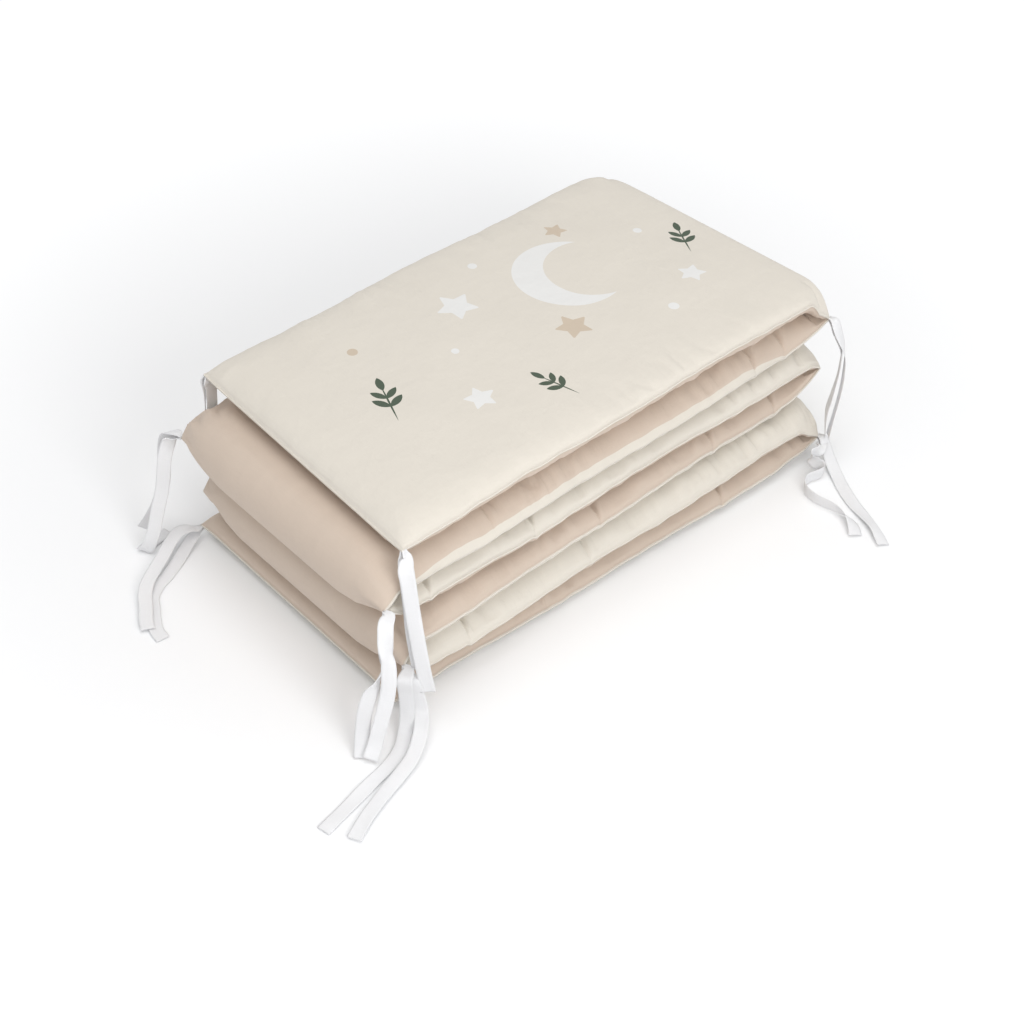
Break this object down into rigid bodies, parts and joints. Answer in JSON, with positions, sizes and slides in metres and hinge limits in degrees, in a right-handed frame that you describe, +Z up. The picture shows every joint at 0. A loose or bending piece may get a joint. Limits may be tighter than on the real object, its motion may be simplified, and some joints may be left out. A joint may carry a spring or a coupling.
{
  "type": "crib bumper",
  "caption": "Long padded fabric strip folded back and forth into a stack, with sewn seams and narrow cotton tie tapes in pairs at its edges.",
  "frame": {"origin": "on the flat underside, in the middle of the stack", "axes": "+Z up, +X along the layers of the stack, +Y across the strip from its near edge to its far edge"},
  "size_m": [0.8112, 0.606, 0.2275],
  "materials": {
    "cotton_cream": "plain woven cotton over soft filling, cream on one side and taupe on the other",
    "tape_white": "narrow woven cotton tape"
  },
  "bodies": {
    "root": {"padded_strip": "cotton_cream", "tape_upper_end_near_1": "tape_white", "tape_upper_end_near_2": "tape_white", "tape_upper_end_far_1": "tape_white", "tape_upper_end_far_2": "tape_white", "tape_upper_left_near_1": "tape_white", "tape_upper_left_near_2": "tape_white", "tape_upper_left_far_1": "tape_white", "tape_upper_left_far_2": "tape_white", "tape_lower_end_far_1": "tape_white", "tape_lower_end_far_2": "tape_white", "tape_lower_left_near_1": "tape_white", "tape_lower_left_near_2": "tape_white", "tape_upper_right_near_1": "tape_white", "tape_upper_right_near_2": "tape_white", "tape_upper_right_far_1": "tape_white", "tape_upper_right_far_2": "tape_white", "tape_lower_right_near_1": "tape_white", "tape_lower_right_near_2": "tape_white", "tape_lower_right_far_1": "tape_white", "tape_lower_right_far_2": "tape_white"}
  },
  "joints": []
}
